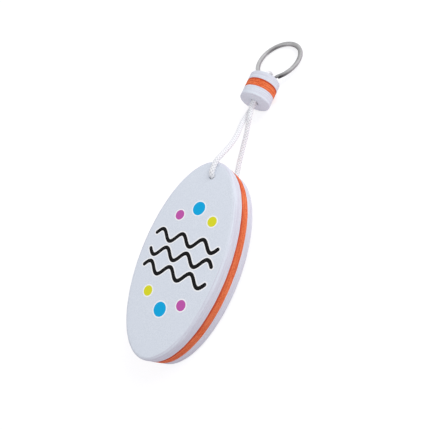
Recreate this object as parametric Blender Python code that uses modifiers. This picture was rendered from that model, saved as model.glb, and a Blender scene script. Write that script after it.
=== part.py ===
"""Floating keychain: an oval laminated foam float, a foam bead and a split key ring on one loop of cord.

It lies as it comes to rest: the float on its back with one strand of the cord under its holed end,
the bead on its side, and the ring leaning on the loop of the cord. Metres, +Z up, +Y from float to ring.
"""

from math import asin, ceil, cos, pi, radians, sin

import bmesh
import bpy
from mathutils import Matrix, Vector

# Fits
clearance = 0.0003  # between pieces that touch

# Float: three foam sheets of one thickness
float_length = 0.095
float_width = 0.0474
sheet = 0.006
float_edge_round = 0.0015
hole_from_end = 0.00826
hole_across = 0.0009  # from the middle of the width towards +X
hole_flare = 0.001  # rounding that the cord presses into both rims of the hole

# Cord
cord_diameter = 0.0024

# Bead: three foam discs, the first one faces the float
bead_diameter = 0.0162
bead_discs = (0.0051, 0.0043, 0.0042)
bead_edge_round = 0.0004
bore_width = 0.0042
bore_flare = 0.0005
bead_place = (-0.00191, 0.08733)  # centre of the end that faces the float, from the float's centre
bead_heading = 86.2  # degrees from +X

# Key ring: flattened wire in two turns
ring_outer_diameter = 0.0264
wire_width = 0.0022
wire_thickness = 0.00074
turn_gap = 0.00006
wire_edge_round = 0.0003
ring_heading = 85.3  # degrees from +X, from the loop of cord to the ring's centre
ring_lean = 26.6  # degrees from that heading to the way it slopes down
loop_across = 0.002  # from the bead's axis to the loop round the ring, towards -X
step_place = -157.4  # where the wire steps up, in degrees round the ring from its far side
step_half = 5.0  # half of the step's length, in degrees
end_gap = 1.5  # from the step to each end of the wire, in degrees

# Values that follow
cord_radius = cord_diameter / 2
float_thickness = 3 * sheet
hole_radius = cord_radius + clearance
hole_y = float_length / 2 - hole_from_end
bend_radius = hole_flare + clearance + cord_radius
bead_radius = bead_diameter / 2
bead_length = sum(bead_discs)
lane = cord_radius + 0.00003  # height of each strand above or below the axis of the bore
bore_height = 2 * (lane + cord_radius + clearance)
ring_middle_radius = (ring_outer_diameter - wire_width) / 2
stack_half = wire_thickness + turn_gap / 2
ring_room = wire_width / 2 + 0.00035  # from the wire's centre to the cord round it
loop_radius = ring_room + cord_radius
mouth_radius = bore_flare + clearance + cord_radius
loop_along = bead_length - bore_flare + mouth_radius + loop_radius
loop_height = cord_radius + loop_radius

# The float leans on the strand under it, and the ring on the loop
float_tilt = asin((cord_diameter + clearance) / (hole_y + float_length / 2 - float_edge_round))
float_lift = (float_length / 2 - float_edge_round) * sin(float_tilt)
ring_reach = ring_outer_diameter / 2 + ring_middle_radius * cos(radians(ring_lean))
ring_tilt = asin((loop_height - stack_half) / ring_reach)

float_matrix = Matrix.Translation((0, 0, float_lift)) @ Matrix.Rotation(float_tilt, 4, "X")
bead_along = Vector((cos(radians(bead_heading)), sin(radians(bead_heading)), 0))
bead_start = Vector((*bead_place, bead_radius))
bead_turn = Matrix((Vector((0, 0, 1)).cross(bead_along), (0, 0, 1), bead_along)).transposed().to_4x4()
bead_matrix = Matrix.Translation(bead_start) @ bead_turn
hinge_place = bead_matrix @ Vector((loop_across, loop_height - bead_radius, loop_along))
lean_axis = Vector((cos(radians(ring_lean)), sin(radians(ring_lean)), 0))
ring_turn = Matrix.Rotation(radians(ring_heading - 90), 4, "Z") @ Matrix.Rotation(-ring_tilt, 4, lean_axis)
ring_matrix = Matrix.Translation(hinge_place) @ ring_turn

# The frame's origin is under the middle of the object's length
near_end = -float_length / 2 * cos(float_tilt) - (float_thickness - float_edge_round) * sin(float_tilt)
ring_centre = ring_matrix @ Vector((0, ring_middle_radius, 0))
far_end = ring_centre.y + ring_outer_diameter / 2 * cos(ring_tilt)
middle_y = (near_end + far_end) / 2


def linear(channel):
    return channel / 12.92 if channel <= 0.04045 else ((channel + 0.055) / 1.055) ** 2.4


def make_material(name, colour, roughness, metallic=0.0):
    material = bpy.data.materials.new(name)
    material.use_nodes = True
    shader = material.node_tree.nodes["Principled BSDF"]
    parts = [linear(int(colour[i : i + 2], 16) / 255) for i in (1, 3, 5)]
    shader.inputs["Base Color"].default_value = (*parts, 1)
    shader.inputs["Roughness"].default_value = roughness
    shader.inputs["Metallic"].default_value = metallic
    material.diffuse_color = (*parts, 1)
    return material


def make_collection(name):
    collection = bpy.data.collections.new(name)
    bpy.context.scene.collection.children.link(collection)
    return collection


def place(obj, collection, parent=None, material=None):
    collection.objects.link(obj)
    obj.parent = parent
    if material:
        obj.data.materials.append(material)
    return obj


def make_empty(name, collection, matrix, parent=None):
    empty = bpy.data.objects.new(name, None)
    empty.empty_display_size = 0.01
    place(empty, collection, parent)
    empty.matrix_local = matrix
    return empty


def make_sheet(name, size, thickness, low, rounded, edge_round, sides):
    """An oval sheet from height low, with its rim rounded at the top, at the bottom or at neither."""
    mesh = bmesh.new()
    bmesh.ops.create_cone(
        mesh, cap_ends=True, segments=sides, radius1=0.5, radius2=0.5, depth=1.0
    )
    for vertex in mesh.verts:
        vertex.co.x *= size[0]
        vertex.co.y *= size[1]
        vertex.co.z = low + (vertex.co.z + 0.5) * thickness
    if rounded:
        height = low + thickness if rounded == "top" else low
        rim = [e for e in mesh.edges if all(abs(v.co.z - height) < 1e-6 for v in e.verts)]
        bmesh.ops.bevel(
            mesh, geom=rim, offset=edge_round, offset_type="OFFSET", segments=4, profile=0.5, affect="EDGES"
        )
    data = bpy.data.meshes.new(name)
    mesh.to_mesh(data)
    mesh.free()
    data.shade_smooth()
    data.set_sharp_from_angle(angle=radians(40))
    return bpy.data.objects.new(name, data)


def make_bore_cutter(name, radius, flare, length, sides):
    """A turned cutter along Z whose mouths widen by a quarter round at both ends."""
    past = 0.001
    arc = [i / 4 * pi / 2 for i in range(5)]
    half = [(radius + flare * (1 - cos(a)), flare * (1 - sin(a))) for a in reversed(arc)]
    profile = [(0, length + past), (radius + flare, length + past)]
    profile += [(r, length - z) for r, z in half]
    profile += [(r, z) for r, z in reversed(half)]
    profile += [(radius + flare, -past), (0, -past)]
    data = bpy.data.meshes.new(name)
    data.from_pydata([(r, 0, z) for r, z in profile], [(i, i + 1) for i in range(len(profile) - 1)], [])
    cutter = bpy.data.objects.new(name, data)
    screw = cutter.modifiers.new("turned", "SCREW")
    screw.steps = screw.render_steps = sides
    screw.use_merge_vertices = True
    screw.merge_threshold = 0.00001
    cutter.hide_render = True
    cutter.display_type = "WIRE"
    return cutter


def cut(obj, cutter):
    boolean = obj.modifiers.new("bore", "BOOLEAN")
    boolean.operation = "DIFFERENCE"
    boolean.solver = "EXACT"
    boolean.object = cutter


def make_line(name, points, closed=False):
    """A curve object of one straight-sided spline."""
    data = bpy.data.curves.new(name, "CURVE")
    data.dimensions = "3D"
    spline = data.splines.new("POLY")
    spline.points.add(len(points) - 1)
    for point, co in zip(spline.points, points):
        point.co = (*co, 1)
    spline.use_cyclic_u = closed
    spline.use_smooth = True
    return bpy.data.objects.new(name, data)


def arc_points(centre, radius, start, end, most=22.5):
    """Points in a plane along an arc, from start to end in degrees."""
    count = max(1, ceil(abs(end - start) / most))
    angles = [radians(start + (end - start) * i / count) for i in range(count + 1)]
    return [(centre[0] + radius * cos(a), centre[1] + radius * sin(a)) for a in angles]


def smooth_curve(route, steps=24):
    """A centripetal curve through all the points of the route."""
    ends = [2 * route[0] - route[1], *route, 2 * route[-1] - route[-2]]
    points = []
    for a, b, c, d in zip(ends, ends[1:], ends[2:], ends[3:]):
        t1 = (b - a).length ** 0.5
        t2 = t1 + (c - b).length ** 0.5
        t3 = t2 + (d - c).length ** 0.5
        for i in range(steps):
            t = t1 + (t2 - t1) * i / steps
            ab = a.lerp(b, t / t1)
            bc = b.lerp(c, (t - t1) / (t2 - t1))
            cd = c.lerp(d, (t - t2) / (t3 - t2))
            points.append(ab.lerp(bc, t / t2).lerp(bc.lerp(cd, (t - t1) / (t3 - t1)), (t - t1) / (t2 - t1)))
    return [*points, route[-1]]


def thin_out(points, most_turn, most_step):
    """Keeps the points at which the curve has turned or run far enough since the last one kept."""
    kept = [points[0]]
    heading = points[1] - points[0]
    run = 0.0
    for here, after in zip(points[1:], points[2:]):
        run += (here - kept[-1]).length if run == 0 else (here - before).length
        before = here
        if heading.angle(after - here) >= most_turn or run >= most_step:
            kept.append(here)
            heading = after - here
            run = 0.0
    return [*kept, points[-1]]


for old in list(bpy.data.objects):
    bpy.data.objects.remove(old, do_unlink=True)

keychain = make_collection("floating_keychain")
helpers = make_collection("cutters_and_guides")

white_foam = make_material("white_foam", "#D8DDE6", 0.85)
orange_foam = make_material("orange_foam", "#E2704C", 0.85)
white_cord = make_material("white_cord", "#E6E6EA", 0.9)
ring_steel = make_material("ring_steel", "#A9AFB6", 0.25, 1.0)

frame = make_empty("keychain_frame", keychain, Matrix.Translation((0, -middle_y, 0)))

# Float sheets, with the hole through all three
float_rest = make_empty("float_rest", keychain, float_matrix, frame)
float_hole = place(
    make_bore_cutter("float_hole", hole_radius, hole_flare, float_thickness, 24), helpers, float_rest
)
float_hole.location = (hole_across, hole_y, 0)
for index, (name, rounded, material) in enumerate(
    (
        ("float_back_layer", "bottom", white_foam),
        ("float_core_layer", None, orange_foam),
        ("float_front_layer", "top", white_foam),
    )
):
    low = index * sheet + (clearance / 2 if index else 0)
    high = (index + 1) * sheet - (clearance / 2 if index < 2 else 0)
    layer = make_sheet(name, (float_width, float_length), high - low, low, rounded, float_edge_round, 128)
    place(layer, keychain, float_rest, material)
    cut(layer, float_hole)

# Bead discs, with a bore that the two strands stretch into an oval
bead_rest = make_empty("bead_rest", keychain, bead_matrix, frame)
bead_bore = place(
    make_bore_cutter("bead_bore", bore_height / 2, bore_flare, bead_length, 32), helpers, bead_rest
)
bead_bore.scale = (bore_width / bore_height, 1, 1)
start = 0.0
for index, (name, rounded, material) in enumerate(
    (
        ("bead_lower_layer", "bottom", white_foam),
        ("bead_core_layer", None, orange_foam),
        ("bead_upper_layer", "top", white_foam),
    )
):
    low = start + (clearance / 2 if index else 0)
    start += bead_discs[index]
    high = start - (clearance / 2 if index < 2 else 0)
    size = (bead_diameter, bead_diameter)
    disc = make_sheet(name, size, high - low, low, rounded, bead_edge_round, 64)
    place(disc, keychain, bead_rest, material)
    cut(disc, bead_bore)

# Key ring: the lower turn, a step, then the upper turn, hinged where the cord holds it
ring_hinge = make_empty("ring_hinge", keychain, ring_matrix, frame)
corner = [arc_points((0, 0), wire_edge_round, 90 * q, 90 * q + 90, 30) for q in range(4)]
inset = (wire_width / 2 - wire_edge_round, wire_thickness / 2 - wire_edge_round)
section = []
for quarter, (side_x, side_y) in zip(corner, ((1, 1), (-1, 1), (-1, -1), (1, -1))):
    section += [(side_x * inset[0] + x, side_y * inset[1] + y, 0) for x, y in quarter]
wire_section = place(make_line("wire_section", section[::-1], closed=True), helpers)
wire_section.hide_render = True

level = (wire_thickness + turn_gap) / 2
first = step_half + end_gap
count = 144
wire = []
for i in range(count + 1):
    turned = first + (720 - 2 * first) * i / count
    share = min(1.0, max(0.0, (turned - 360 + step_half) / (2 * step_half)))
    height = level * (2 * share * share * (3 - 2 * share) - 1)
    angle = radians(step_place + turned)
    across = -ring_middle_radius * sin(angle)
    away = ring_middle_radius * (1 + cos(angle))
    wire.append((across, away, height))
key_ring = place(make_line("key_ring", wire), keychain, ring_hinge, ring_steel)
key_ring.data.twist_mode = "Z_UP"
key_ring.data.bevel_mode = "OBJECT"
key_ring.data.bevel_object = wire_section
key_ring.data.use_fill_caps = True


def in_hole(heading):
    """Places a point given by its way from the hole towards the ring and its height over the float's back."""
    way = Vector((sin(radians(heading)), cos(radians(heading)), 0))
    return lambda point: float_matrix @ (Vector((hole_across, hole_y, point[1])) + way * point[0])


def in_bead(point, across=0.0):
    """Places a point given by its way along the bead, its height over the bead's axis and its way across."""
    return bead_matrix @ Vector((across, point[1], point[0]))


# Cord: from the middle of the bore, over the float's front, down the hole, under the float and back
front = in_hole(2)
back = in_hole(-4)
rim = (hole_from_end - float_edge_round, float_thickness - float_edge_round)
rim_radius = float_edge_round + clearance + cord_radius
bend_in = hole_radius + hole_flare
front_strand = [(-2.05, 84.4, 9.85), (-1.75, 79.5, 10.5), (-1.2, 73.3, 11.15), (-0.65, 67.0, 12.35)]
front_strand += [(-0.2, 62.0, 14.0), (0.3, 57.3, 16.3), (0.8, 52.2, 19.15)]
back_strand = [(0.6, 45.5, 1.2), (0.3, 50.7, 1.3), (-0.05, 55.5, 1.9), (-0.4, 60.0, 2.9)]
back_strand += [(-0.6, 64.5, 4.2), (-0.75, 69.5, 5.5), (-1.2, 74.7, 6.3), (-1.8, 79.5, 6.7)]
back_strand += [(-2.15, 83.9, 6.87)]
loop_centre = (loop_along, loop_height - bead_radius)
mouth_centre = (bead_length - bore_flare, -lane - mouth_radius)

route = [in_bead((s, lane)) for s in (0.0060, 0.0040, 0.0020, 0.0)]
route += [Vector(p) / 1000 for p in front_strand]
route += [front(p) for p in arc_points(rim, rim_radius, 62, 90, 14)]
route += [front(p) for p in arc_points((bend_in, float_thickness - hole_flare), bend_radius, 90, 180)]
route += [front((0, float_thickness * share)) for share in (0.7, 0.5, 0.3)]
route += [back(p) for p in arc_points((bend_in, hole_flare), bend_radius, 180, 270)]
route += [Vector(p) / 1000 for p in back_strand]
route += [in_bead((s, -lane)) for s in (0.0, 0.004, 0.008)]
mouth = arc_points(mouth_centre, mouth_radius, 90, 0)
route += [in_bead(p, loop_across * i / len(mouth)) for i, p in enumerate(mouth)]
route += [in_bead(p, loop_across) for p in arc_points(loop_centre, loop_radius, 180, 405)]
over_ring = ((0.0, loop_radius + 0.0003, 0.9), (-0.0021, 0.0043, 0.5))
route += [in_bead((loop_centre[0] + s, loop_centre[1] + up), loop_across * n) for s, up, n in over_ring]
route += [in_bead((bead_length + s, lane)) for s in (0.0003, -0.002, -0.004, -0.006)]
curve = thin_out(smooth_curve(route), radians(19), 0.0045)
cord = place(make_line("cord", curve), keychain, frame, white_cord)
cord.data.bevel_depth = cord_radius
cord.data.bevel_resolution = 2
cord.data.use_fill_caps = True
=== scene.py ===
"""Floating keychain: an oval foam float, a foam bead and a split key ring on one loop of braided cord.

The pieces are in metres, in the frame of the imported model, in the order in which it is put together.
"""

from math import ceil, cos, pi, radians, sin

import bmesh
import bpy
import numpy as np
from mathutils import Matrix, Vector


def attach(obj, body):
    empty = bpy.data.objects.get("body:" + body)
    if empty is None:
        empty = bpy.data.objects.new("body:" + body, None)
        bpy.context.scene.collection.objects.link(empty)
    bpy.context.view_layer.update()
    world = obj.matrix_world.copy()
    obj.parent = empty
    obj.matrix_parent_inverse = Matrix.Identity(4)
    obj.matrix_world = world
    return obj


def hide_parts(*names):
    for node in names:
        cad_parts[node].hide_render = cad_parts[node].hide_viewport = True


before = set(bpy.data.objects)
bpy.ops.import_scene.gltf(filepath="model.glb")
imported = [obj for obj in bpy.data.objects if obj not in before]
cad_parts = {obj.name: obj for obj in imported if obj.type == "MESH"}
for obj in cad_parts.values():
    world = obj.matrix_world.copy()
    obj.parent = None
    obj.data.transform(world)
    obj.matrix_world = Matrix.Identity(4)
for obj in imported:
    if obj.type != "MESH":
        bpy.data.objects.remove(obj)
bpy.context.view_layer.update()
scene = bpy.context.scene

# Camera
# It stands above the float's plain end and to its right, and looks down across the float.
# The photograph is square, and the object takes up about three quarters of its height.
camera_data = bpy.data.cameras.new("camera")
camera_data.sensor_width = 36.0
image_pixels = 430
focal_pixels = 460
camera_data.lens = camera_data.sensor_width * focal_pixels / image_pixels
camera_data.shift_x = -0.5 / image_pixels
camera_data.shift_y = 0.5 / image_pixels
camera_data.clip_start = 0.01
camera_data.clip_end = 20.0
camera = bpy.data.objects.new("camera", camera_data)
scene.collection.objects.link(camera)
scene.camera = camera
looks_along = Vector((-0.57915, 0.21072, -0.78752)).normalized()
image_right = looks_along.cross(Vector((-0.18651, 0.90614, 0.37963))).normalized()
image_up = image_right.cross(looks_along)
camera_turn = Matrix((image_right, image_up, -looks_along)).transposed().to_4x4()
camera.matrix_world = Matrix.Translation((0.12918, -0.06299, 0.18097)) @ camera_turn

# Foam sheets of the float
# Three 6 mm sheets of closed-cell foam, glued face to face and cut to an oval in one go.
# The two outer faces have a rounded rim, and the hole for the cord goes through all three.
float_width = 0.0474
float_length = 0.095
sheet = 0.006
float_edge_round = 0.0015
front_edge_round = 0.0018
hole_place = (0.0009, 0.03964)
hole_radius = 0.00148
hole_flare = 0.0004
seam_round = 0.00012  # rounding of each layer's edge where the next layer lies on it
seam_flare = 0.0001  # and of its hole there
float_ripple = 0.00004
float_tilt = radians(1.8151)
float_place = Matrix.Translation((0, -0.041121, 0.001457)) @ Matrix.Rotation(float_tilt, 4, "X")


def linear_colour(text):
    """An sRGB hex colour as the linear values that a shader takes."""
    channels = [int(text[i : i + 2], 16) / 255 for i in (1, 3, 5)]
    return (*[c / 12.92 if c <= 0.04045 else ((c + 0.055) / 1.055) ** 2.4 for c in channels], 1.0)


def add_node(tree, kind, settings=None, links=None):
    """One node with its settings and links: a key is a property or an input of the node."""
    node = tree.nodes.new(kind)
    for key, value in (settings or {}).items():
        if isinstance(key, str) and key not in node.inputs:
            setattr(node, key, value)
        else:
            node.inputs[key].default_value = value
    for key, socket in (links or {}).items():
        tree.links.new(socket, node.inputs[key])
    return node


def new_material(name, look):
    """A material with its node tree and its shader, on which the look's inputs are set."""
    material = bpy.data.materials.new(name)
    material.use_nodes = True
    shader = material.node_tree.nodes["Principled BSDF"]
    for key, value in look.items():
        shader.inputs[key].default_value = value
    return material, material.node_tree, shader


def noise(tree, place, size_mm, detail, roughness=0.5):
    """Soft noise of that size at each place."""
    settings = {"Scale": 1000 / size_mm, "Detail": detail, "Roughness": roughness}
    return add_node(tree, "ShaderNodeTexNoise", settings, {"Vector": place}).outputs["Fac"]


def mapped(tree, value, low, high, to_low=0.0, to_high=1.0):
    """A value taken from one range to another, and held at both ends."""
    settings = {"From Min": low, "From Max": high, "To Min": to_low, "To Max": to_high}
    return add_node(tree, "ShaderNodeMapRange", settings, {"Value": value}).outputs["Result"]


def mix_colours(tree, share, first, second, blend="MIX"):
    """The mix of two colours by a share. A colour is a hex colour or the output of a node."""
    settings, links = {"data_type": "RGBA", "blend_type": blend}, {0: share}
    for slot, colour in ((6, first), (7, second)):
        if isinstance(colour, str):
            settings[slot] = linear_colour(colour)
        else:
            links[slot] = colour
    return add_node(tree, "ShaderNodeMix", settings, links).outputs[2]


def add_bump(tree, shader, height, strength, depth_mm):
    """Makes the surface look as uneven as the height says."""
    settings = {"Strength": strength, "Distance": depth_mm / 1000}
    bump = add_node(tree, "ShaderNodeBump", settings, {"Height": height})
    tree.links.new(bump.outputs["Normal"], shader.inputs["Normal"])


def foam_grain(tree, place, base, pit, glow, cell_mm):
    """The colour of skived foam and the height of its cells: fine grain with soft blotches."""
    blotch_mm = 9
    grain_share = 0.6  # size of the grain against the cells
    grain_height = 0.5
    settings = {"feature": "F1", "Scale": 1000 / cell_mm, "Randomness": 1.0}
    cells = add_node(tree, "ShaderNodeTexVoronoi", settings, {"Vector": place}).outputs["Distance"]
    grain = noise(tree, place, grain_share * cell_mm, 3.0, 0.6)
    settings = {"operation": "MULTIPLY_ADD", 1: grain_height}
    height = add_node(tree, "ShaderNodeMath", settings, {0: grain, 2: cells}).outputs[0]
    grained = mix_colours(tree, mapped(tree, height, 0.25, 0.95), pit, base)
    blotched = mapped(tree, noise(tree, place, blotch_mm, 2.0), 0.35, 0.65, 0.0, 0.5)
    return mix_colours(tree, blotched, grained, glow), height


def knife_lines_and_painted_shade(tree, place, line_share, painted_shade_share):
    """How much darker the cut side is: knife lines along the sheet, and painted shade near the layer's top,
    under the edge of the next sheet.

    The attribute "through" is 0 on the layer's bottom face and 1 on its top face."""
    knife_lines = 10.0  # through one layer
    wavers = (60, 60, 60)  # of a knife line, in one metre along each axis
    side_reach = 0.485  # share of the layer's height that is side, up and down from its middle
    painted_shade_start = 0.68
    through = add_node(tree, "ShaderNodeAttribute", {"attribute_name": "through"}).outputs["Fac"]
    level = add_node(tree, "ShaderNodeMath", {"operation": "MULTIPLY", 1: knife_lines}, {0: through})
    lifted = add_node(tree, "ShaderNodeCombineXYZ", {}, {"Z": level.outputs[0]})
    settings = {"operation": "MULTIPLY_ADD", 1: wavers}
    drawn_out = add_node(tree, "ShaderNodeVectorMath", settings, {0: place, 2: lifted.outputs[0]})
    # What is drawn out is already counted in lines, so the noise keeps a scale of 1.
    lined = mapped(tree, noise(tree, drawn_out.outputs[0], 1000, 2.0), 0.42, 0.66, 0.0, line_share)
    settings = {"operation": "COMPARE", 1: 0.5, 2: side_reach}
    on_side = add_node(tree, "ShaderNodeMath", settings, {0: through}).outputs[0]
    # Painted shade: the side darkens towards the layer's top, where the next sheet's edge overhangs it.
    shade_under_next_sheet = mapped(tree, through, painted_shade_start, 1.0, 0.0, painted_shade_share)
    settings = {"operation": "MULTIPLY_ADD", "use_clamp": True}
    return add_node(tree, "ShaderNodeMath", settings, {0: lined, 1: on_side, 2: shade_under_next_sheet}).outputs[0]


def foam_material(name, base, pit, glow, line_and_shade_colour, cell_mm, pit_depth_mm, line_share, painted_shade_share):
    """Cross-linked closed-cell foam: dull, with its skived cells, the marks of the knife, and painted shade
    near the top of its cut side, as much as its share gives.
    """
    look = {"Roughness": 0.82, "IOR": 1.49, "Specular IOR Level": 0.15}
    look |= {"Sheen Weight": 0.03, "Sheen Roughness": 0.6}
    material, tree, shader = new_material(name, look)
    place = add_node(tree, "ShaderNodeTexCoord").outputs["Object"]
    grained, height = foam_grain(tree, place, base, pit, glow, cell_mm)
    lines_and_painted_shade = knife_lines_and_painted_shade(tree, place, line_share, painted_shade_share)
    lined_and_shaded = mix_colours(tree, lines_and_painted_shade, grained, line_and_shade_colour)
    tree.links.new(lined_and_shaded, shader.inputs["Base Color"])
    add_bump(tree, shader, height, 0.5, pit_depth_mm)
    return material


white_foam = foam_material(
    "skived white polyethylene foam",
    base="#E4E9F0",
    pit="#D7DDE5",
    glow="#E1E6EE",
    line_and_shade_colour="#C9C2D0",
    cell_mm=0.6,
    pit_depth_mm=0.04,
    line_share=0.5,
    painted_shade_share=0.0,
)
orange_foam = foam_material(
    "skived orange polyethylene foam",
    base="#F8814C",
    pit="#D65020",
    glow="#FC925F",
    # Dark red for the knife lines and for the painted shade under the white sheet.
    line_and_shade_colour="#B8391A",
    cell_mm=0.85,
    pit_depth_mm=0.07,
    line_share=0.5,
    # Painted shade under the white sheet, near the top of the orange sheet's cut side.
    painted_shade_share=0.75,
)


def oval(middle, half_width, half_length, grow, count):
    """Points on an oval that is moved out by grow along its normals."""
    angle = np.linspace(0, 2 * pi, count, endpoint=False)
    across, along = np.cos(angle), np.sin(angle)
    steep = np.hypot(across / half_width, along / half_length)
    x = middle[0] + half_width * across + grow * across / half_width / steep
    y = middle[1] + half_length * along + grow * along / half_length / steep
    return np.stack([x, y], axis=1)


def quarter(radius, steps):
    """A quarter round as pairs of lengths: how far in, and how far from the face."""
    return [(radius * (1 - cos(a)), radius * (1 - sin(a))) for a in np.linspace(0, pi / 2, steps + 1)]


def closed_loft(name, rings, place, material):
    """A closed piece from rings of points, each joined to the next and the last to the first."""
    rings = np.asarray(rings)
    rows, count = rings.shape[:2]
    points = rings.reshape(-1, 3)
    row, column = np.meshgrid(np.arange(rows), np.arange(count), indexing="ij")
    next_row, next_column = (row + 1) % rows, (column + 1) % count
    here, onward = row * count, next_row * count
    corners = [here + column, here + next_column, onward + next_column, onward + column]
    data = bpy.data.meshes.new(name)
    data.from_pydata(points.tolist(), [], np.stack(corners, axis=-1).reshape(-1, 4).tolist())
    data.transform(place)
    data.shade_smooth()
    data.materials.append(material)
    piece = bpy.data.objects.new(name, data)
    scene.collection.objects.link(piece)
    return piece


def face_outward(piece):
    """Turns every face of a closed mesh to its outside."""
    mesh = bmesh.new()
    mesh.from_mesh(piece.data)
    bmesh.ops.recalc_face_normals(mesh, faces=mesh.faces)
    mesh.to_mesh(piece.data)
    mesh.free()


def foam_layer(name, outline, bore, low, high, rounds, flares, ripple, place, material):
    """One sheet or disc: outer side, top face, bore and bottom face, in rings from the outline to the bore.

    outline and bore give the middle and the two half sizes. rounds and flares are the radii of the outer
    and inner edges, at the bottom and at the top. ripple is how uneven the foam is."""
    count = 224
    rings = []

    def ring(shape, grow, z):
        rings.append(np.column_stack([oval(*shape, grow, count), np.full(count, z)]))

    for inset, depth in reversed(quarter(rounds[0], 6)):
        ring(outline, -inset, low + depth)
    for z in np.linspace(low + rounds[0], high - rounds[1], 7)[1:-1]:
        ring(outline, 0.0, z)
    for inset, depth in quarter(rounds[1], 8):
        ring(outline, -inset, high - depth)
    mouth = oval(*bore, flares[1], count)
    edge = rings[-1][:, :2]
    for share in np.linspace(0, 1, 25)[1:-1]:
        rings.append(np.column_stack([edge * (1 - share) + mouth * share, np.full(count, high)]))
    for inset, depth in reversed(quarter(flares[1], 6)):
        ring(bore, inset, high - depth)
    for z in np.linspace(high - flares[1], low + flares[0], 4)[1:-1]:
        ring(bore, 0.0, z)
    for inset, depth in quarter(flares[0], 4):
        ring(bore, inset, low + depth)
    mouth = oval(*bore, flares[0], count)
    edge = rings[0][:, :2]
    for share in np.linspace(0, 1, 7)[1:-1]:
        rings.append(np.column_stack([mouth * (1 - share) + edge * share, np.full(count, low)]))
    rings = np.array(rings)
    rings[..., :2] *= (1 + ripple / outline[1] * uneven(rings, 1.7))[..., None]
    piece = closed_loft(name, rings, place, material)
    face_outward(piece)
    through = piece.data.attributes.new("through", "FLOAT", "POINT")
    through.data.foreach_set("value", ((rings[..., 2] - low) / (high - low)).astype(np.float32).ravel())
    return piece


def uneven(points, seed):
    """A slow, fixed waviness between -1 and 1 at each point, some 4 to 12 mm from crest to crest."""
    x, y, z = (1000 * points[..., i] for i in range(3))
    wave = np.sin(0.43 * x + 0.31 * y + seed) * np.sin(0.37 * y - 0.29 * z + 2 * seed)
    return wave * 0.6 + 0.4 * np.sin(0.91 * x - 0.77 * y + 1.3 * z + 3 * seed)


float_outline = ((0.0, 0.0), float_width / 2, float_length / 2)
float_hole = (hole_place, hole_radius, hole_radius)
for index, (name, foam, record_slot, rounds, flares) in enumerate(
    zip(
        ("float_back_foam", "float_core_foam", "float_front_foam"),
        (white_foam, orange_foam, white_foam),
        ("white_foam", "orange_foam", "white_foam"),
        ((float_edge_round, seam_round), (seam_round, seam_round), (seam_round, front_edge_round)),
        ((hole_flare, seam_flare), (seam_flare, seam_flare), (seam_flare, hole_flare)),
    )
):
    layer = foam_layer(
        name,
        float_outline,
        float_hole,
        index * sheet,
        (index + 1) * sheet,
        rounds,
        flares,
        float_ripple,
        float_place,
        foam,
    )
    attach(layer, "float_and_cord")
    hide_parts(name.replace("foam", "layer"))

# Print on the float's front
# Screen-printed ink, each coat drawn 0.03 mm thick: a white underlay whose edge shows, and the colours on it.
# Waves and round drops stand where the float carries its print.
ink_lift = 0.00003
ink_sink = 0.00004
keyline = 0.0006
worn_share = 0.92
ink_look = {"Roughness": 0.6, "Specular IOR Level": 0.12}
inks = {}
for name, colour in (
    ("white", "#FFFFFF"),
    ("black", "#08080A"),
    ("cyan", "#0FAFE6"),
    ("magenta", "#C95CAF"),
    ("yellow", "#E6E32C"),
):
    ink, tree, shader = new_material(f"screen-printed {name} ink", ink_look)
    place = add_node(tree, "ShaderNodeTexCoord").outputs["Object"]
    grain = noise(tree, place, 0.25, 2.0)
    worn = add_node(tree, "ShaderNodeRGB")
    worn.outputs[0].default_value = (*[worn_share * c for c in linear_colour(colour)[:3]], 1.0)
    mixed = mix_colours(tree, grain, worn.outputs[0], colour)
    tree.links.new(mixed, shader.inputs["Base Color"])
    add_bump(tree, shader, grain, 0.4, 0.02)
    inks[name] = ink


def stroke(line, half_width):
    """The outline of a line of that width with round ends, as one closed loop of points."""
    line = np.asarray(line, float)
    if len(line) == 1:
        around = np.linspace(0, 2 * pi, 48, endpoint=False)
        return line[0] + half_width * np.stack([np.cos(around), np.sin(around)], axis=1)
    along = np.gradient(line, axis=0)
    along /= np.linalg.norm(along, axis=1)[:, None]
    left = np.stack([-along[:, 1], along[:, 0]], axis=1)

    def cap(centre, heading):
        turn = np.linspace(pi / 2, -pi / 2, 13)[1:-1]
        base = np.arctan2(heading[1], heading[0])
        return centre + half_width * np.stack([np.cos(base + turn), np.sin(base + turn)], axis=1)

    return np.concatenate(
        [
            line + half_width * left,
            cap(line[-1], along[-1]),
            (line - half_width * left)[::-1],
            cap(line[0], -along[0]),
        ]
    )


def printed(name, shapes):
    """Ink films on the front face, closed all round: each shape has its ink, its line and width in mm."""
    names = ["white", *dict.fromkeys(ink for ink, _, _ in shapes)]
    points, faces, colours = [], [], []
    for level, widen in enumerate((keyline, 0.0), 1):
        for ink, line, width in shapes:
            loop = stroke(np.asarray(line) / 1000, width / 2000 + widen)
            first, count = len(points), len(loop)
            for height in (3 * sheet - ink_sink, 3 * sheet + level * ink_lift):
                points += [(x, y, height) for x, y in loop]
            low, high = range(first, first + count), range(first + count, first + 2 * count)
            faces += [tuple(low)[::-1], tuple(high)]
            faces += [(low[i - 1], low[i], high[i], high[i - 1]) for i in range(count)]
            colours += [0 if level == 1 else names.index(ink)] * (count + 2)
    data = bpy.data.meshes.new(name)
    data.from_pydata(points, [], faces)
    for ink in names:
        data.materials.append(inks[ink])
    data.polygons.foreach_set("material_index", colours)
    data.transform(float_place)
    piece = bpy.data.objects.new(name, data)
    scene.collection.objects.link(piece)
    face_outward(piece)
    return piece


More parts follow.
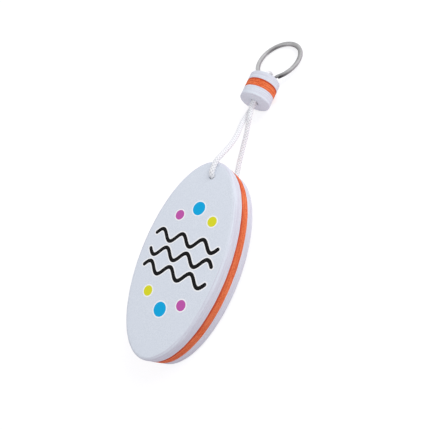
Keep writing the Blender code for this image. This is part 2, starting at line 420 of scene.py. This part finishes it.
wave_start, wave_end = -17.5, 18.5
wave_length = 12.0
wave_height = 2.4
wave_width = 1.8
small_drop, large_drop = 4.8, 6.6
wave_x = np.linspace(wave_start, wave_end, 121)
shapes = []
for middle, swing in ((7.4, 0.0), (-0.6, pi), (-8.6, 0.0)):
    wave = middle + wave_height * np.sin(2 * pi * (wave_x - wave_start) / wave_length + swing)
    shapes.append(("black", np.stack([wave_x, wave], axis=1), wave_width))
for ink, x, y, width in (
    ("magenta", -8.4, 18.2, small_drop),
    ("cyan", 0.8, 23.2, large_drop),
    ("yellow", 10.4, 18.6, small_drop),
    ("yellow", -9.4, -19.4, small_drop),
    ("cyan", 0.8, -25.0, large_drop),
    ("magenta", 10.8, -20.2, small_drop),
):
    shapes.append((ink, [(x, y)], width))
print_piece = printed("float_print", shapes)
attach(print_piece, "float_and_cord")

# Bead
# Three discs of the same foam, cut as one plug with one bore, which the two strands of cord fill and stretch.
# It slides on the cord and keeps the loop small.
bead_radius = 0.0081
bead_discs = (0.0051, 0.0043, 0.0042)
bead_edge_round = 0.0004
bore_half_width = 0.00155
bore_half_height = 0.00245
bore_flare = 0.0005
bead_ripple = 0.00003
bead_heading = radians(86.2)
bead_along = Vector((cos(bead_heading), sin(bead_heading), 0))
upward = Vector((0, 0, 1))
bead_turn = Matrix((upward.cross(bead_along), upward, bead_along)).transposed().to_4x4()
bead_place = Matrix.Translation((-0.00191, 0.046209, 0.0081)) @ bead_turn
bead_outline = ((0.0, 0.0), bead_radius, bead_radius)
bead_bore = ((0.0, 0.0), bore_half_width, bore_half_height)
level = 0.0
for thickness, name, foam, record_slot, rounds, flares in zip(
    bead_discs,
    ("bead_lower_foam", "bead_core_foam", "bead_upper_foam"),
    (white_foam, orange_foam, white_foam),
    ("white_foam", "orange_foam", "white_foam"),
    ((bead_edge_round, seam_round), (seam_round, seam_round), (seam_round, bead_edge_round)),
    ((bore_flare, seam_flare), (seam_flare, seam_flare), (seam_flare, bore_flare)),
):
    disc = foam_layer(
        name,
        bead_outline,
        bead_bore,
        level,
        level + thickness,
        rounds,
        flares,
        bead_ripple,
        bead_place,
        foam,
    )
    level += thickness
    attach(disc, "float_and_cord")
    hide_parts(name.replace("foam", "layer"))

# Cord
# One 2.4 mm cord of white polyester, braided from eight yarns, four each way, one over and one under.
# It goes from the bore under the float, up the hole, back over the float's front, and round the ring.
cord_diameter = 0.0024
yarns = 4
braid_lay = 0.0056
braid_relief = 0.0003
crest_lift = 0.00012
crest_top = 0.95
valley_end, crest_start = 0.25, 0.8
cord_step = 0.00016
cord_route = [
    (-1.42, 52.60, 9.33), (-1.32, 49.30, 9.30), (-1.98, 43.09, 9.15), (-0.99, 39.64, 9.10),
    (-0.63, 37.38, 9.00), (-0.62, 35.49, 8.30), (-0.92, 33.69, 7.40), (-0.98, 31.84, 6.60),
    (-0.83, 29.88, 6.00), (-1.00, 22.80, 4.04), (-1.12, 18.32, 2.76), (-0.95, 13.79, 1.80),
    (-0.35, 9.15, 1.27), (0.40, 4.58, 1.20), (0.77, 0.50, 1.35), (0.86, -0.84, 2.16),
    (0.89, -1.27, 2.89), (0.90, -1.54, 6.34), (0.90, -1.81, 15.47), (0.90, -1.90, 20.15),
    (0.92, -1.68, 20.88), (0.94, -1.18, 21.57), (0.97, -0.47, 22.05), (1.02, 0.89, 22.30),
    (1.14, 5.40, 22.32), (1.00, 8.97, 20.55), (0.66, 12.88, 18.30), (0.26, 16.77, 16.09),
    (-0.40, 20.68, 14.08), (-1.00, 25.00, 12.50), (-2.08, 29.05, 11.00), (-3.04, 32.08, 9.70),
    (-3.78, 35.18, 8.40), (-3.99, 38.22, 7.30), (-3.71, 40.82, 7.00), (-2.90, 44.86, 6.85),
    (-1.85, 49.60, 6.87), (-1.42, 54.61, 6.87), (-1.06, 59.10, 6.87), (-1.24, 59.65, 6.80),
    (-1.57, 60.28, 6.54), (-1.90, 60.85, 6.04), (-2.21, 61.27, 5.46), (-2.90, 61.41, 3.85),
    (-2.89, 61.61, 2.84), (-2.86, 62.09, 2.07), (-2.81, 62.81, 1.51), (-2.75, 63.67, 1.23),
    (-2.69, 64.57, 1.25), (-2.64, 65.41, 1.58), (-2.59, 66.09, 2.17), (-2.56, 66.54, 2.96),
    (-2.55, 66.70, 3.85), (-2.56, 66.54, 4.74), (-2.60, 66.14, 5.48), (-2.61, 65.54, 6.00),
    (-1.87, 61.89, 8.15), (-0.99, 60.08, 9.33), (-0.96, 59.34, 9.42), (-1.41, 53.79, 9.33),
]  # fmt: skip


def smooth_line(points, step):
    """A centripetal curve through the points, resampled at equal steps."""
    points = np.asarray(points, float)
    ends = np.concatenate([[2 * points[0] - points[1]], points, [2 * points[-1] - points[-2]]])
    line = []
    for a, b, c, d in zip(ends, ends[1:], ends[2:], ends[3:]):
        knots = np.cumsum([0.0, *[np.linalg.norm(q - p) ** 0.5 for p, q in ((a, b), (b, c), (c, d))]])
        for t in np.linspace(knots[1], knots[2], 24, endpoint=False):
            ab = a + (b - a) * t / knots[1]
            bc = b + (c - b) * (t - knots[1]) / (knots[2] - knots[1])
            cd = c + (d - c) * (t - knots[2]) / (knots[3] - knots[2])
            abc = ab + (bc - ab) * t / knots[2]
            bcd = bc + (cd - bc) * (t - knots[1]) / (knots[3] - knots[1])
            line.append(abc + (bcd - abc) * (t - knots[1]) / (knots[2] - knots[1]))
    line = np.array([*line, points[-1]])
    run = np.concatenate([[0.0], np.cumsum(np.linalg.norm(np.diff(line, axis=0), axis=1))])
    at = np.linspace(0.0, run[-1], ceil(run[-1] / step) + 1)
    return np.stack([np.interp(at, run, line[:, i]) for i in range(3)], axis=1), run[-1]


def carried_frames(line):
    """Two directions across the line at each point, carried along it with no twist."""
    along = np.gradient(line, axis=0)
    along /= np.linalg.norm(along, axis=1)[:, None]
    side = np.cross(along[0], (0.0, 0.0, 1.0))
    sides = []
    for heading in along:
        side = side - heading * (side @ heading)
        side = side / np.linalg.norm(side)
        sides.append(side)
    sides = np.array(sides)
    return sides, np.cross(along, sides)


def braid_height(around, along):
    """How far each point of the braid stands out, from about 0 in a valley to about 1 on a crest."""
    right = yarns * (around / (2 * pi) + along / braid_lay)
    left = yarns * (around / (2 * pi) - along / braid_lay)
    right_yarn, left_yarn = np.floor(right), np.floor(left)
    right_round = 1 - (2 * (right - right_yarn) - 1) ** 2
    left_round = 1 - (2 * (left - left_yarn) - 1) ** 2
    right_up = np.cos(pi * (left - 0.5 + right_yarn))
    left_up = -np.cos(pi * (right - 0.5 + left_yarn))
    return np.maximum(0.55 * right_round**0.6 + 0.4 * right_up, 0.55 * left_round**0.6 + 0.4 * left_up)


cord_line, cord_length = smooth_line(np.array(cord_route) / 1000, cord_step)
sides, ups = carried_frames(cord_line)
cord_around = 64
turn = np.linspace(0, 2 * pi, cord_around, endpoint=False)
run = np.linspace(0, cord_length, len(cord_line))
relief = braid_height(turn[None, :], run[:, None])
radius = cord_diameter / 2 + crest_lift - braid_relief * (crest_top - np.clip(relief, -0.1, crest_top))
across = sides[:, None] * np.cos(turn)[None, :, None] + ups[:, None] * np.sin(turn)[None, :, None]
tube = cord_line[:, None, :] + radius[..., None] * across
rows = len(cord_line)
points = tube.reshape(-1, 3).tolist() + [cord_line[0].tolist(), cord_line[-1].tolist()]
faces = []
for i in range(0, (rows - 1) * cord_around, cord_around):
    for j in range(cord_around):
        k = (j + 1) % cord_around
        faces.append((i + j, i + k, i + cord_around + k, i + cord_around + j))
for j in range(cord_around):
    k = (j + 1) % cord_around
    faces.append((rows * cord_around, k, j))
    faces.append((rows * cord_around + 1, (rows - 1) * cord_around + j, (rows - 1) * cord_around + k))
cord_data = bpy.data.meshes.new("braided_cord")
cord_data.from_pydata(points, [], faces)
cord_data.shade_smooth()
# Painted shade: the braid's valleys are marked here so that the material colours them darker grey than the
# crests.
crest = cord_data.attributes.new("crest", "FLOAT", "POINT")
stands_out = np.clip((relief - valley_end) / (crest_start - valley_end), 0, 1)
stands_out = np.concatenate([stands_out.ravel(), [0.5, 0.5]])
crest.data.foreach_set("value", stands_out.astype(np.float32))
cord = bpy.data.objects.new("braided_cord", cord_data)
scene.collection.objects.link(cord)
face_outward(cord)

fibre_share = 0.12
cord_look = {"Roughness": 0.75, "IOR": 1.54, "Specular IOR Level": 0.3}
cord_look |= {"Sheen Weight": 0.1, "Sheen Roughness": 0.4}
braided, tree, shader = new_material("braided white polyester", cord_look)
place = add_node(tree, "ShaderNodeTexCoord").outputs["Object"]
fibre = noise(tree, place, 0.12, 3.0)
lint = noise(tree, place, 2.5, 1.0)
on_crest = add_node(tree, "ShaderNodeAttribute", {"attribute_name": "crest"}).outputs["Fac"]
settings = {"operation": "MULTIPLY_ADD", 1: fibre_share}
share = add_node(tree, "ShaderNodeMath", settings, {0: fibre, 2: on_crest}).outputs[0]
# Painted shade between the yarns: valleys take the grey, crests the white, with a little fibre noise.
mixed = mix_colours(tree, share, "#CBCCD1", "#FFFFFF")
shaded = mix_colours(tree, lint, mixed, "#F8F8F8", "MULTIPLY")
tree.links.new(shaded, shader.inputs["Base Color"])
add_bump(tree, shader, fibre, 0.5, 0.03)
cord_data.materials.append(braided)

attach(cord, "float_and_cord")
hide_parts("cord")

# Key ring
# One length of flattened spring steel, wound in two turns that lie on each other, and nickel plated.
# Where the wire passes from the lower turn to the upper one it steps up, between its two ends.
# The steel's colour carries painted reflection and shade, set at points round the ring.
wire_width = 0.0022
wire_thickness = 0.00074
turn_gap = 0.00006
wire_edge_round = 0.0003
ring_radius = 0.0121
step_place = -160.0  # in degrees round the ring from its far side
step_half = 5.0
end_gap = 1.5
end_taper = 0.8
wire_steps = 600
ring_place = Matrix(
    (
        (0.995259, 0.084692, -0.047828, -0.002729),
        (-0.078509, 0.989788, 0.118977, 0.064052),
        (0.057416, -0.114658, 0.991744, 0.00385),
        (0, 0, 0, 1),
    )
)
section = []
for q, (side_x, side_y) in enumerate(((1, 1), (-1, 1), (-1, -1), (1, -1))):
    for a in np.linspace(q * pi / 2, (q + 1) * pi / 2, 6):
        section.append(
            (
                side_x * (wire_width / 2 - wire_edge_round) + wire_edge_round * cos(a),
                side_y * (wire_thickness / 2 - wire_edge_round) + wire_edge_round * sin(a),
            )
        )
section = np.array(section)
stack = (wire_thickness + turn_gap) / 2
first = step_half + end_gap
turned = np.linspace(first, 720 - first, wire_steps)
share = np.clip((turned - 360 + step_half) / (2 * step_half), 0, 1)
height = stack * (2 * share * share * (3 - 2 * share) - 1)
angle = np.radians(step_place + turned)
outward = np.stack([-np.sin(angle), np.cos(angle), np.zeros_like(angle)], axis=1)
centre = ring_radius * outward
centre += np.stack([np.zeros_like(angle), np.full_like(angle, ring_radius), height], axis=1)
shrink = np.ones(len(turned))
shrink[[0, -1]] = end_taper
wire = (
    centre[:, None, :]
    + outward[:, None, :] * (section[:, 0][None, :] * shrink[:, None])[..., None]
    + np.array([0.0, 0.0, 1.0]) * (section[:, 1][None, :] * shrink[:, None])[..., None]
)
rows, count = wire.shape[:2]
points = wire.reshape(-1, 3).tolist()
faces = [
    (i * count + j, i * count + (j + 1) % count, (i + 1) * count + (j + 1) % count, (i + 1) * count + j)
    for i in range(rows - 1)
    for j in range(count)
]
faces += [tuple(range(count))[::-1], tuple((rows - 1) * count + j for j in range(count))]
ring_data = bpy.data.meshes.new("split_key_ring")
ring_data.from_pydata(points, [], faces)
ring_data.transform(ring_place)
ring_data.shade_smooth()
ring_data.set_sharp_from_angle(angle=radians(50))
# Painted reflection and shade: the steel's tone at each point, from the wire's inner to its outer edge,
# follows the light and dark the ring mirrors, with a dark patch on the outer side near the step.
painted_reflection = ring_data.attributes.new("painted_reflection", "FLOAT", "POINT")
around = np.degrees((angle + pi) % (2 * pi) - pi)
marks = (-180, -158, -147, -134, -118, -95, -40, 0, 35, 50, 70, 110, 180)
inner_painted_tones = (0.60, 0.55, 0.55, 0.56, 0.54, 0.28, 0.22, 0.46, 0.24, 0.25, 0.52, 0.55, 0.55)
outer_painted_tones = (0.30, 0.24, 0.06, 0.24, 0.46, 0.56, 0.56, 0.38, 0.60, 0.64, 0.54, 0.50, 0.50)
inner = np.interp(around, marks, inner_painted_tones)
outer = np.interp(around, marks, outer_painted_tones)
to_outside = (section[:, 0] / (wire_width / 2) + 1) / 2
painted_brightness = inner[:, None] * (1 - to_outside)[None, :] + outer[:, None] * to_outside[None, :]
painted_reflection.data.foreach_set("value", painted_brightness.astype(np.float32).ravel())
key_ring = bpy.data.objects.new("split_key_ring", ring_data)
scene.collection.objects.link(key_ring)
face_outward(key_ring)

nickel, tree, shader = new_material("nickel-plated spring steel", {"Metallic": 1.0})
place = add_node(tree, "ShaderNodeTexCoord").outputs["Object"]
smear = noise(tree, place, 1.5, 3.0)
tree.links.new(mapped(tree, smear, 0.0, 1.0, 0.3, 0.42), shader.inputs["Roughness"])
# The painted reflection and shade sets the base colour, from near black to near white, with a little random
# wear.
painted_reflection_share = add_node(tree, "ShaderNodeAttribute", {"attribute_name": "painted_reflection"}).outputs["Fac"]
worn = mapped(tree, smear, 0.3, 0.7, 0.92, 1.08)
share = add_node(tree, "ShaderNodeMath", {"operation": "MULTIPLY"}, {0: painted_reflection_share, 1: worn}).outputs[0]
tone = mix_colours(tree, share, "#101011", "#FBFBFC")
tree.links.new(tone, shader.inputs["Base Color"])
add_bump(tree, shader, noise(tree, place, 0.15, 2.0), 0.15, 0.02)
ring_data.materials.append(nickel)
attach(key_ring, "ring")
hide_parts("key_ring")

# Floor, world and lamp
# A white table under a large soft lamp from the ring's side, and a pale room.
# The table and the room show white to the camera, and the table keeps the object's shadow.
# Towards the float's plain end the table is darker, so it throws less light up there.
floor_half = 1.5
table_dark_y, table_light_y = -0.09, 0.01
floor_data = bpy.data.meshes.new("floor")
corners = [(x * floor_half, y * floor_half, 0) for x, y in ((-1, -1), (1, -1), (1, 1), (-1, 1))]
floor_data.from_pydata(corners, [], [(0, 1, 2, 3)])
floor = bpy.data.objects.new("floor", floor_data)
scene.collection.objects.link(floor)
floor.location.z = -0.00005
table, tree, shader = new_material("matt white laminate", {"Roughness": 1.0, "Specular IOR Level": 0.0})
lies = add_node(tree, "ShaderNodeTexCoord").outputs["Object"]
parts = add_node(tree, "ShaderNodeSeparateXYZ", {}, {0: lies})
near_lamp = mapped(tree, parts.outputs["Y"], table_dark_y, table_light_y)
laminate = mix_colours(tree, near_lamp, "#DED0D8", "#FFF3F8")
tree.links.new(laminate, shader.inputs["Base Color"])
rays = add_node(tree, "ShaderNodeLightPath")
pale = add_node(tree, "ShaderNodeBsdfDiffuse", {"Color": linear_colour("#A4A4A6")})
shine = add_node(tree, "ShaderNodeEmission", {"Strength": 0.74})
added = add_node(tree, "ShaderNodeAddShader", {}, {0: pale.outputs[0], 1: shine.outputs[0]})
links = {0: rays.outputs["Is Camera Ray"], 1: shader.outputs[0], 2: added.outputs[0]}
both = add_node(tree, "ShaderNodeMixShader", {}, links)
tree.links.new(both.outputs[0], tree.nodes["Material Output"].inputs["Surface"])
floor_data.materials.append(table)

world = bpy.data.worlds.new("pale studio")
scene.world = world
world.use_nodes = True
tree = world.node_tree
room = tree.nodes["Background"]
room.inputs["Color"].default_value = linear_colour("#F3F4F9")
room.inputs["Strength"].default_value = 0.76
rays = add_node(tree, "ShaderNodeLightPath")
white = add_node(tree, "ShaderNodeBackground", {"Strength": 1.0, "Color": (1, 1, 1, 1)})
way = add_node(tree, "ShaderNodeTexCoord")
parts = add_node(tree, "ShaderNodeSeparateXYZ", {}, {0: way.outputs["Generated"]})
band = mapped(tree, parts.outputs["Z"], 0.0, 0.7, 0.5, 1.3)
mirrored = add_node(tree, "ShaderNodeBackground", {"Color": (1, 1, 1, 1)}, {"Strength": band})
links = {0: rays.outputs["Is Glossy Ray"], 1: room.outputs[0], 2: mirrored.outputs[0]}
lit = add_node(tree, "ShaderNodeMixShader", {}, links)
links = {0: rays.outputs["Is Camera Ray"], 1: lit.outputs[0], 2: white.outputs[0]}
shown = add_node(tree, "ShaderNodeMixShader", {}, links)
tree.links.new(shown.outputs[0], tree.nodes["World Output"].inputs["Surface"])

lamp_data = bpy.data.lights.new("soft lamp", "AREA")
lamp_data.shape = "DISK"
lamp_data.size = 0.5
lamp_data.energy = 2.05
lamp_data.color = linear_colour("#FBFDFF")[:3]
lamp = bpy.data.objects.new("soft lamp", lamp_data)
scene.collection.objects.link(lamp)
lamp.visible_glossy = False
lamp.location = (0.32, 0.46, 0.43)
lamp.rotation_mode = "QUATERNION"
lamp.rotation_quaternion = (-Vector(lamp.location)).to_track_quat("-Z", "Y")

scene.view_settings.view_transform = "Standard"
